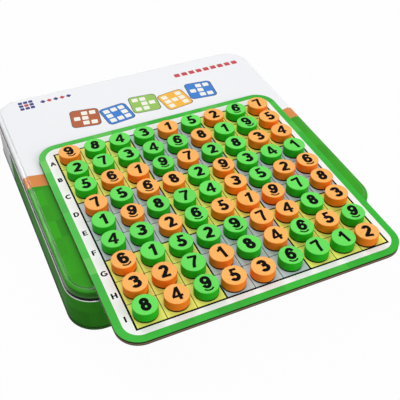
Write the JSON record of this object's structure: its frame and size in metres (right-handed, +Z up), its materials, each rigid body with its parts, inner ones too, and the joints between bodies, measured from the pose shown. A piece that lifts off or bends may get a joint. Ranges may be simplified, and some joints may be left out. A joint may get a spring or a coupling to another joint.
{
  "type": "magnetic sudoku board",
  "caption": "Laminated magnetic sudoku board with foam number pieces, laid over the front of its square lift-off storage tin.",
  "frame": {"origin": "middle of the whole set's plan, on the surface that the tin stands on", "axes": "+Z up, +Y to the rear, away from the player, +X to the player's right"},
  "size_m": [0.292, 0.354, 0.0614],
  "materials": {
    "tin_print": "gloss lacquer over green print",
    "lid_print": "gloss lacquer over print",
    "tin_plate": "bare tinplate",
    "back_print": "coated paper",
    "card": "cut edge of grey pulp board",
    "sheet_steel": "oiled sheet steel",
    "board_print": "satin laminated print",
    "green_foam": "matt foam",
    "orange_foam": "matt foam",
    "magnet": "matt flexible magnet sheet"
  },
  "bodies": {
    "tin_base": {"tin_wall": "tin_print", "tin_bottom": "tin_plate"},
    "tin_lid": {"tin_lid": "lid_print"},
    "board": {"board_back_sheet": "back_print", "board_lower_ply": "card", "board_upper_ply": "card", "board_steel_sheet": "sheet_steel", "board_print_sheet": "board_print"},
    "green_ones": {"green_ones_foam": "green_foam", "green_ones_magnets": "magnet"},
    "green_twos": {"green_twos_foam": "green_foam", "green_twos_magnets": "magnet"},
    "green_threes": {"green_threes_foam": "green_foam", "green_threes_magnets": "magnet"},
    "green_fours": {"green_fours_foam": "green_foam", "green_fours_magnets": "magnet"},
    "green_fives": {"green_fives_foam": "green_foam", "green_fives_magnets": "magnet"},
    "green_sixes": {"green_sixes_foam": "green_foam", "green_sixes_magnets": "magnet"},
    "green_sevens": {"green_sevens_foam": "green_foam", "green_sevens_magnets": "magnet"},
    "green_eights": {"green_eights_foam": "green_foam", "green_eights_magnets": "magnet"},
    "green_nines": {"green_nines_foam": "green_foam", "green_nines_magnets": "magnet"},
    "orange_ones": {"orange_ones_foam": "orange_foam", "orange_ones_magnets": "magnet"},
    "orange_twos": {"orange_twos_foam": "orange_foam", "orange_twos_magnets": "magnet"},
    "orange_threes": {"orange_threes_foam": "orange_foam", "orange_threes_magnets": "magnet"},
    "orange_fours": {"orange_fours_foam": "orange_foam", "orange_fours_magnets": "magnet"},
    "orange_fives": {"orange_fives_foam": "orange_foam", "orange_fives_magnets": "magnet"},
    "orange_sixes": {"orange_sixes_foam": "orange_foam", "orange_sixes_magnets": "magnet"},
    "orange_sevens": {"orange_sevens_foam": "orange_foam", "orange_sevens_magnets": "magnet"},
    "orange_eights": {"orange_eights_foam": "orange_foam", "orange_eights_magnets": "magnet"},
    "orange_nines": {"orange_nines_foam": "orange_foam", "orange_nines_magnets": "magnet"}
  },
  "joints": [
    {"name": "lid_lift", "type": "slide", "parent": "tin_base", "child": "tin_lid", "axis": [0, 0, 1], "range_m": [0, 0.06]},
    {"name": "board_lift", "type": "slide", "parent": "tin_lid", "child": "board", "axis": [0, 0, 1], "range_m": [0, 0.05]},
    {"name": "green_ones_lift", "type": "slide", "parent": "board", "child": "green_ones", "axis": [0, 0, 1], "range_m": [0, 0.03]},
    {"name": "green_twos_lift", "type": "slide", "parent": "board", "child": "green_twos", "axis": [0, 0, 1], "range_m": [0, 0.03]},
    {"name": "green_threes_lift", "type": "slide", "parent": "board", "child": "green_threes", "axis": [0, 0, 1], "range_m": [0, 0.03]},
    {"name": "green_fours_lift", "type": "slide", "parent": "board", "child": "green_fours", "axis": [0, 0, 1], "range_m": [0, 0.03]},
    {"name": "green_fives_lift", "type": "slide", "parent": "board", "child": "green_fives", "axis": [0, 0, 1], "range_m": [0, 0.03]},
    {"name": "green_sixes_lift", "type": "slide", "parent": "board", "child": "green_sixes", "axis": [0, 0, 1], "range_m": [0, 0.03]},
    {"name": "green_sevens_lift", "type": "slide", "parent": "board", "child": "green_sevens", "axis": [0, 0, 1], "range_m": [0, 0.03]},
    {"name": "green_eights_lift", "type": "slide", "parent": "board", "child": "green_eights", "axis": [0, 0, 1], "range_m": [0, 0.03]},
    {"name": "green_nines_lift", "type": "slide", "parent": "board", "child": "green_nines", "axis": [0, 0, 1], "range_m": [0, 0.03]},
    {"name": "orange_ones_lift", "type": "slide", "parent": "board", "child": "orange_ones", "axis": [0, 0, 1], "range_m": [0, 0.03]},
    {"name": "orange_twos_lift", "type": "slide", "parent": "board", "child": "orange_twos", "axis": [0, 0, 1], "range_m": [0, 0.03]},
    {"name": "orange_threes_lift", "type": "slide", "parent": "board", "child": "orange_threes", "axis": [0, 0, 1], "range_m": [0, 0.03]},
    {"name": "orange_fours_lift", "type": "slide", "parent": "board", "child": "orange_fours", "axis": [0, 0, 1], "range_m": [0, 0.03]},
    {"name": "orange_fives_lift", "type": "slide", "parent": "board", "child": "orange_fives", "axis": [0, 0, 1], "range_m": [0, 0.03]},
    {"name": "orange_sixes_lift", "type": "slide", "parent": "board", "child": "orange_sixes", "axis": [0, 0, 1], "range_m": [0, 0.03]},
    {"name": "orange_sevens_lift", "type": "slide", "parent": "board", "child": "orange_sevens", "axis": [0, 0, 1], "range_m": [0, 0.03]},
    {"name": "orange_eights_lift", "type": "slide", "parent": "board", "child": "orange_eights", "axis": [0, 0, 1], "range_m": [0, 0.03]},
    {"name": "orange_nines_lift", "type": "slide", "parent": "board", "child": "orange_nines", "axis": [0, 0, 1], "range_m": [0, 0.03]}
  ]
}
